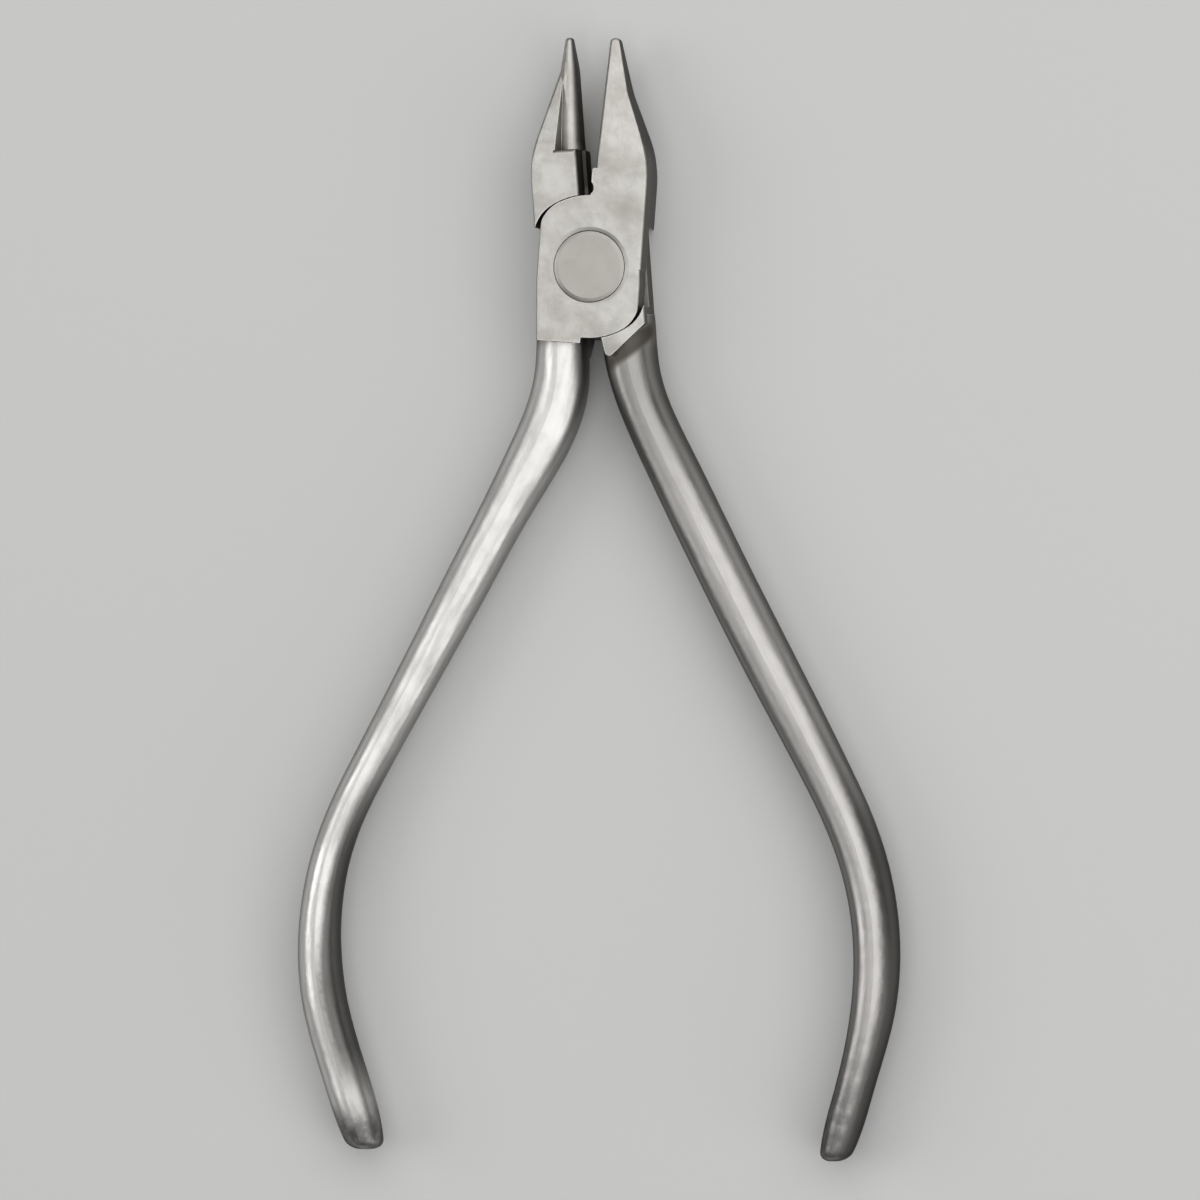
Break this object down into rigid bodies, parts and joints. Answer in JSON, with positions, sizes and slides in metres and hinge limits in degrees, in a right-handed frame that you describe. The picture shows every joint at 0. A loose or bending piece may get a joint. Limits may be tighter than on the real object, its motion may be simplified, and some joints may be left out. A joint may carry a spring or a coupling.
{
  "type": "orthodontic pliers",
  "caption": "Bird-beak orthodontic pliers with one round stepped beak, one flat-sided beak, a screwed lap joint and bowed handles.",
  "frame": {"origin": "on the pivot axis, in the flat back face of the joint that the pliers lie on", "axes": "+Y along the pliers towards the beak tips, +Z along the pivot axis out of the front face"},
  "size_m": [0.0705, 0.1298, 0.0086],
  "materials": {
    "front_steel": "satin stainless steel",
    "rear_steel": "satin stainless steel",
    "screw_steel": "ground stainless steel"
  },
  "bodies": {
    "rear": {"rear_half": "rear_steel", "pivot_screw": "screw_steel"},
    "front": {"front_half": "front_steel"}
  },
  "joints": [
    {"name": "jaw_pivot", "type": "hinge", "parent": "rear", "child": "front", "pos_m": [0, 0, 0], "axis": [0, 0, 1], "range_deg": [-35, 8.3]}
  ]
}
